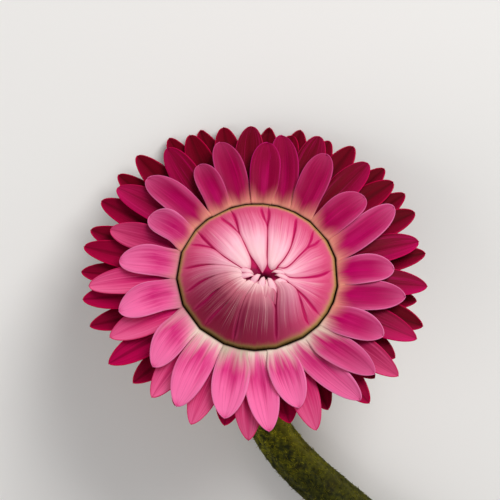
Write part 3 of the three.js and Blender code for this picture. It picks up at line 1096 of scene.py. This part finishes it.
def side_lit(on, body, light, dark, strength):
    """Lightens the half of a bract that turns to the light and deepens the other half."""
    lit = on.lit * strength
    body = mixed(lit.at_least(0), body, light)
    return mixed((lit * -1).at_least(0), body, dark)


def add_hinge(on, body):
    """Peach on the shaded side, greyish pink on the left and wide cream on the stem side.
    The pale zone reaches further out along a bract's edges than in its middle."""
    cream = between(on.lengthwise, CREAM_ENDS * MM, CREAM_STARTS * MM)
    waver = (streaks(on, 4.5, 0.8) - 0.5) * (cream * 0.5 + 0.16)
    reached = on.along - on.off_middle * 0.28 + waver
    plain = mixed(between(on.shade, 0.1, 0.5), (198, 118, 134), (224, 144, 124))
    grey = between(on.tone, 0.6, 0.85) * 0.55
    pale = mixed(grey, (232, 212, 194), (160, 146, 118))
    in_reach = 1 - between(reached, -0.06, cream * 0.08 + 0.29)
    body = mixed(in_reach, body, mixed(cream, plain, pale))
    # Right beside the crack the hinge is painted darker brown, as shade.
    crack_shade = 1 - between(on.along, 0.02, 0.08)
    return mixed(crack_shade * 0.5, body, (158, 112, 92))


def front_colour(on, soft):
    """The front tier: hinge, belly and tip, with a deep streak low down in the middle."""
    blotch = soft - 0.5
    bright = ramp(on.along + blotch * 0.34, [
        (0.0, 226, 108, 154), (0.24, 226, 84, 144), (0.42, 218, 52, 126),
        (0.58, 246, 106, 164), (0.8, 250, 116, 172), (1.0, 222, 40, 126),
    ])
    # Painted shade and light: deep on the shaded side of the head and deepest at its top, where
    # faded is low, and bright on the other side.
    deep = mixed(on.faded, (132, 0, 48), (168, 0, 82))
    body = mixed(between(on.shade, 0.1, 0.56), bright, deep)
    light = mixed(on.shade, (248, 132, 178), (198, 20, 104))
    body = side_lit(on, body, light, (160, 0, 76), 0.3)
    off_middle = on.off_middle + blotch * 0.2
    keel = 1 - between(off_middle, 0.03, 0.22)
    band = between(on.along, 0.14, 0.3) * (1 - between(on.along, 0.36, 0.7))
    body = mixed(keel * band * (on.tone * 0.5 + 0.12), body, (178, 0, 90))
    tipward = between(on.along, 0.5, 0.95)
    sideward = between(off_middle, 0.22, 0.47) * (between(on.along, 0.12, 0.5) * 0.8)
    pale = tipward.at_least(sideward) * (soft * 0.9 + 0.2) * on.faded
    body = mixed(pale * 0.8, body, (228, 112, 162))
    nib = between(on.along, 0.88, 0.98) * (0.9 - on.shade)
    body = mixed(nib.at_least(0), body, (210, 14, 112))
    return add_hinge(on, body)


def behind_colour(on, soft):
    """The second tier, deep at its root: crimson on the shaded side, as painted shade, and pink
    on the other, as painted light.
    """
    sunny = between(on.shade, 0.62, 0.22)
    vivid = mixed(sunny, (172, 0, 72), (240, 96, 148))
    # At the top of the head, where faded is low, the tips are painted dark as shade.
    tip = mixed(on.faded * on.faded, (100, 0, 20), vivid)
    root = mixed(sunny, (104, 0, 22), (204, 10, 98))
    body = mixed(between(on.along + soft * 0.3, 0.5, 1.0), root, tip)
    light = mixed(sunny, (206, 0, 100), (244, 116, 160))
    dark = mixed(sunny, (80, 0, 10), (160, 0, 70))
    body = side_lit(on, body, light, dark, 0.5)
    close_in = 1 - between(on.along, 0.05, 0.25)
    body = mixed(close_in, body, (186, 20, 90))
    keel = 1 - between(on.off_middle, 0.0, 0.12)
    return mixed(keel * 0.45, body, mixed(sunny, (84, 0, 16), (186, 20, 90)))


def paint_magenta(on):
    soft, fine = streaks(on, 8.0, 1.3), streaks(on, 20.0, 1.4)
    is_behind = between(on.tier, 0.1, 0.3)
    body = mixed(is_behind, front_colour(on, soft), behind_colour(on, soft))
    dark_fibre = between(fine, 0.5, 0.3) * 0.3 * between(on.along, 0.05, 0.25)
    body = mixed(dark_fibre, body, (130, 0, 52))
    # Fibre threads are pale on the bright side and deep magenta where the side is painted in
    # shade.
    thread = mixed(between(on.shade, 0.2, 0.66), (246, 120, 170), (206, 0, 104))
    body = mixed(between(fine, 0.5, 0.72) * 0.34, body, thread)
    # A pale rim along the edges, partly the paper's own edge and partly painted sheen.
    rim = (1 - between(on.margin, 0.03, 0.17)) * between(on.along, 0.1, 0.5)
    rim_colour = mixed(on.faded, (196, 10, 112), (240, 136, 184))
    rim_colour = mixed(is_behind, rim_colour, (214, 4, 84))
    body = mixed(rim * 0.6, body, rim_colour)
    # The depth attribute paints the hinge lip and the claws in the crack nearly black, as shade.
    return mixed(on.depth, body, (16, 10, 4)), fibres(on)


give_finish(magenta_bracts, "magenta_paper", paint_magenta, 0.48, 0.04, 0.05)

# %% [markdown]
# The outer tiers are older and crimson, painted darker on the shaded side of the head, as
# shade. They have a darker keel down the middle, partly their own colour and partly painted
# shade in its crease, a redder rim, partly their own colour and partly painted sheen, and a
# painted paler sheen on the side that faces the light.

# %% Crimson bracts' finish
def paint_crimson(on):
    soft, fine = streaks(on, 8.0, 1.2), streaks(on, 28.0, 1.6)
    light = mixed(on.tone, (184, 6, 78), (150, 2, 50))
    dark = mixed(on.tone, (98, 0, 18), (80, 0, 8))
    # Painted shade: darker on the shaded side of the head.
    body = mixed(between(on.shade, 0.22, 0.62), light, dark)
    body = mixed(between(on.tier, 0.7, 1.2), body, (88, 0, 12))
    body = side_lit(on, body, (188, 0, 72), (64, 0, 6), 0.4)
    body = mixed(soft * 0.25, body, (160, 0, 50))
    body = mixed(between(fine, 0.5, 0.3) * 0.4, body, (66, 0, 8))
    # A darker keel, partly the bract's own colour and partly painted shade in its crease.
    keel = 1 - between(on.off_middle + (soft - 0.5) * 0.1, 0.0, 0.14)
    body = mixed(keel * 0.5, body, (62, 0, 8))
    # A redder rim, partly the bract's own colour and partly painted sheen.
    rim = 1 - between(on.margin, 0.05, 0.22)
    body = mixed(rim * 0.6, body, (208, 2, 70))
    root = 1 - between(on.along, 0.02, 0.3)
    return mixed(root * 0.7, body, (176, 96, 66)), fibres(on)


give_finish(crimson_bracts, "crimson_paper", paint_crimson, 0.5, 0.03, 0.05)

# %% [markdown]
# The dome is olive-tan where it rises from the crack, then pink with fine streaks, and almost
# white near the star. Its stem side is a deep crimson low down, and greyer pink above, partly
# its own deeper colour and partly painted shade. The layer below shows as pure magenta, deeper
# on that side as painted shade, and is painted nearly black inside the star, as shade.

# %% Closed bracts' finish
def paint_dome(on):
    rise = on.tier
    soft, fine = streaks(on, 11.0, 1.2), streaks(on, 34.0, 1.5)
    above_ring = between(rise, 0.03, 0.12)
    level = rise + (soft - 0.5) * 0.26 * above_ring + (fine - 0.5) * 0.02
    bright = ramp(level, [
        (0.0, 124, 96, 50), (0.02, 178, 134, 84), (0.04, 206, 118, 112),
        (0.07, 208, 80, 118), (0.14, 212, 76, 120), (0.35, 230, 122, 156),
        (0.58, 250, 184, 200), (0.8, 248, 198, 204), (1.0, 240, 172, 188),
    ])
    dark = ramp(level, [
        (0.0, 82, 60, 24), (0.02, 122, 92, 50), (0.04, 128, 54, 52),
        (0.06, 126, 14, 48), (0.22, 116, 4, 44), (0.42, 132, 38, 64),
        (0.6, 190, 98, 116), (0.76, 250, 202, 202), (1.0, 248, 192, 196),
    ])
    # The dark side is partly the dome's own deeper colour and partly painted shade.
    body = mixed(on.shade, dark, bright)
    thread = between(fine, 0.52, 0.72) * 0.22 * between(rise, 0.08, 0.3)
    body = mixed(thread, body, (248, 214, 206))
    low_down = 1 - between(rise, 0.15, 0.75)
    vein = between(soft, 0.52, 0.3) * 0.5 * low_down * above_ring
    body = mixed(vein, body, mixed(on.shade, (110, 0, 50), (196, 36, 96)))
    clear = 1 - on.faded * (between(rise, 0.2, 0.42) * 0.75 + 0.2)
    clear = clear.at_least(0) * above_ring
    halo = (1 - between(on.margin, 0.1, 0.6)) * (clear * 0.4)
    body = mixed(halo, body, (208, 60, 118))
    wedge = between(rise, 0.04, 0.16) * (1 - between(rise, 0.22, 0.5))
    edge = 1 - between(on.margin / (wedge * 0.2 + 0.14), 0.4, 1.0)
    seam = mixed(on.shade, (116, 0, 46), (192, 0, 90))
    body = mixed(edge * (clear * 0.95), body, seam)
    # The layer beneath is deeper on the dark side, as painted shade.
    under = mixed(between(on.shade, 0.0, 0.4), (140, 0, 62), (186, 0, 82))
    body = mixed(between(rise, 1.4, 1.8), body, under)
    # Where the dome sinks into the crack and in the star's pit it is painted nearly black, as
    # shade.
    return mixed(between(on.depth, 0.1, 0.9), body, (20, 8, 4)), fibres(on)


give_finish(closed_dome, "dome_paper", paint_dome, 0.45, 0.15, 0.05)

# %% [markdown]
# The scales are straw-coloured, rosy towards the tip, with pale threads and a brown rim.

# %% Scales' finish
def paint_scale(on):
    soft, fine = streaks(on, 9.0, 1.2), streaks(on, 32.0, 1.8)
    straw = mixed(on.tone, (206, 168, 104), (196, 142, 96))
    rosy = mixed(soft, (214, 128, 104), (200, 150, 96))
    body = mixed(between(on.along, 0.3, 0.95), straw, rosy)
    body = mixed(between(fine, 0.5, 0.7) * 0.35, body, (236, 208, 160))
    rim = between(on.off_middle, 0.44, 0.5) * 0.5
    return mixed(rim, body, (168, 96, 60)), fibres(on)


give_finish(straw_scales, "scale_paper", paint_scale, 0.5, 0.3, 0.06)

# %% [markdown]
# The stem is olive green, mottled, with a painted highlight along the side that turns to the
# light, darker towards the cut and browner close to the head. Its cut end is pale pith, which
# the faded attribute marks. The hairs are a lighter yellow green.

# %% Stem's finishes
def stem_paint(light, dark, brown):
    """Returns the finish of the stem's skin or hairs in these three colours."""

    def paint(on):
        mottle = add_node(on.tree, "ShaderNodeTexNoise", {
            "Vector": on.place, "Scale": 1400.0, "Detail": 5.0, "Roughness": 0.65,
        })
        patch = add_node(on.tree, "ShaderNodeTexNoise", {
            "Vector": on.place, "Scale": 260.0, "Detail": 2.0,
        })
        body = mixed(between(mottle, 0.35, 0.68), dark, light)
        body = mixed(between(on.lengthwise, -9 * MM, 1 * MM) * 0.9, body, brown)
        near_cut = between(on.lengthwise, -7 * MM, -16 * MM) * 0.7
        # A painted highlight along the side that turns to the light.
        band = between(on.across, 0.8, 0.9) * between(on.across, 1.0, 0.94)
        body = mixed(band * (0.6 - near_cut * 0.45), body, (138, 132, 34))
        body = mixed(near_cut, body, (18, 22, 2))
        body = mixed(between(patch, 0.5, 0.75) * 0.4, body, brown)
        pith = mixed(mottle, (168, 158, 92), (214, 204, 148))
        return mixed(on.faded, body, pith), mottle

    return paint


skin_paint = stem_paint((112, 110, 12), (30, 34, 3), (40, 26, 5))
hair_paint = stem_paint((206, 196, 50), (104, 102, 12), (84, 60, 18))
give_finish(green_stem, "green_skin", skin_paint, 0.7, 0.12, 0.12, strength=0.7)
give_finish(stem_hairs, "hair_straw", hair_paint, 0.6, 0.12, 0.12, strength=0.7)

# %% [markdown]
# ## Joining the looks to the solids
# Each fine piece stands for one solid and rides on the flower's only body.

# %% Ride and replace
for piece, node, slot in (
    (closed_dome, "closed_bracts", "closed_bract"),
    (magenta_bracts, "inner_ray_bracts", "magenta_bract"),
    (crimson_bracts, "outer_ray_bracts", "crimson_bract"),
    (straw_scales, "scale_bracts", "straw_scale"),
    (green_stem, "stem", "green_stem"),
):
    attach(piece, "root")
    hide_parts(node)
    print(piece.name, "stands for", node)
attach(stem_hairs, "root")

# %% [markdown]
# ## Floor and light
# A plain pale floor, a large soft light from above the low edge of the head, as in the
# photograph, a weak fill from the other side and a pale surround.

# %% Stage
FLOOR_HALF_SIZE = 1.5
FLOOR_ROUGHNESS = 0.8
SURROUND_STRENGTH = 0.42
floor_mesh = bmesh.new()
bmesh.ops.create_grid(floor_mesh, x_segments=1, y_segments=1, size=FLOOR_HALF_SIZE)
floor = finish_mesh(floor_mesh, "floor", Matrix.Identity(4))
floor_paint, floor_shader = new_material("floor_paint")
set_inputs(floor_shader, {"Base Color": srgb(240, 238, 234), "Roughness": FLOOR_ROUGHNESS})
floor.data.materials.append(floor_paint)


def soft_light(name, spot, size, watts):
    light = add_object(name, bpy.data.lights.new(name, "AREA"))
    light.data.shape = "SQUARE"
    light.data.size = size
    light.data.energy = watts
    light.location = spot
    aim = HEAD_CENTRE * MM - Vector(spot)
    light.rotation_euler = aim.to_track_quat("-Z", "Y").to_euler()
    light.visible_camera = False


soft_light("key", (0.24, 0.38, 0.34), 0.32, 2.45)
soft_light("fill", (-0.4, -0.2, 0.35), 0.5, 0.9)
world = bpy.data.worlds.new("surround")
world.use_nodes = True
set_inputs(world.node_tree.nodes["Background"], {0: srgb(235, 235, 238), 1: SURROUND_STRENGTH})
bpy.context.scene.world = world
bpy.context.scene.view_settings.view_transform = "Standard"
